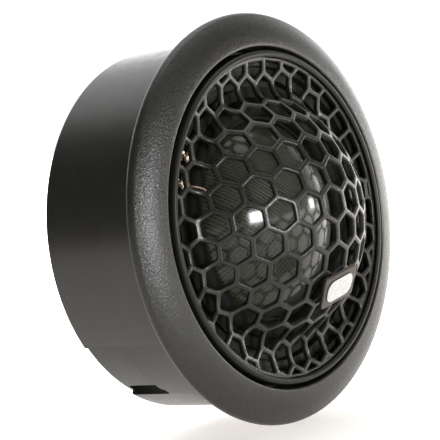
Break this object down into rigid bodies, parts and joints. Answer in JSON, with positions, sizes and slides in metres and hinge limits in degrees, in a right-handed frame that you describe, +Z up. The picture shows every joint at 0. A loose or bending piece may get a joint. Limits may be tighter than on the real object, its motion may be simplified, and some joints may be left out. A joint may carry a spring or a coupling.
{
  "type": "car tweeter",
  "caption": "Round soft-dome car tweeter with a domed honeycomb grille, twist-locked into a flanged mounting cup with a cable slit.",
  "frame": {"origin": "on the speaker's axis, in the plane of the flange's back, which rests on the panel", "axes": "-Y is the way the speaker faces, +Y goes into the panel, +Z is up with the badge at the bottom of the grille, +X is to the right seen from the front"},
  "size_m": [0.054, 0.0284, 0.054],
  "materials": {
    "cup_plastic": "satin black, fine spark-eroded grain on the flange",
    "insert_plastic": "satin black",
    "bezel_gloss": "gloss black",
    "grille_paint": "semi-gloss black",
    "badge_metal": "dull grey-brown metallic",
    "badge_white": "gloss white",
    "dome_silk": "coated fine weave",
    "former_film": "amber film",
    "copper": "bare copper",
    "brass": "plated",
    "motor_steel": "zinc plated",
    "magnet_nickel": "nickel plated",
    "felt": "pressed felt",
    "rubber": "matte",
    "wire_jacket": "smooth jacket",
    "board_green": "solder mask"
  },
  "bodies": {
    "housing": {"mounting_cup": "cup_plastic", "seal_ring": "rubber"},
    "driver_insert": {"faceplate": "insert_plastic", "bezel_ring": "bezel_gloss", "hex_grille": "grille_paint", "badge_plate": "badge_metal", "badge_inlay": "badge_white", "diaphragm_ring": "insert_plastic", "surround": "dome_silk", "lead_wire_positive": "copper", "lead_wire_negative": "copper", "terminal_positive": "brass", "terminal_negative": "brass", "yoke_cup": "motor_steel", "neodymium_magnet": "magnet_nickel", "pole_plate": "motor_steel", "shorting_cap": "copper", "damping_felt": "felt", "rear_chamber": "insert_plastic", "lead_grommet": "rubber", "chamber_wadding": "felt", "terminal_board": "board_green", "solder_tab_positive": "brass", "solder_tab_negative": "brass", "inner_wire_positive": "wire_jacket", "inner_wire_negative": "wire_jacket", "assembly_screw_1": "motor_steel", "assembly_screw_2": "motor_steel", "assembly_screw_3": "motor_steel"},
    "voice_coil": {"dome_diaphragm": "dome_silk", "coil_former": "former_film", "coil_winding": "copper"}
  },
  "joints": [
    {"name": "insert_twist", "type": "hinge", "parent": "housing", "child": "driver_insert", "pos_m": [0, 0, 0], "axis": [0, -1, 0], "range_deg": [0, 20]},
    {"name": "coil_travel", "type": "slide", "parent": "driver_insert", "child": "voice_coil", "axis": [0, -1, 0], "range_m": [-0.0003, 0.0003], "stiffness_N_per_m": 60, "deforming": ["surround", "lead_wire_positive", "lead_wire_negative"]}
  ]
}
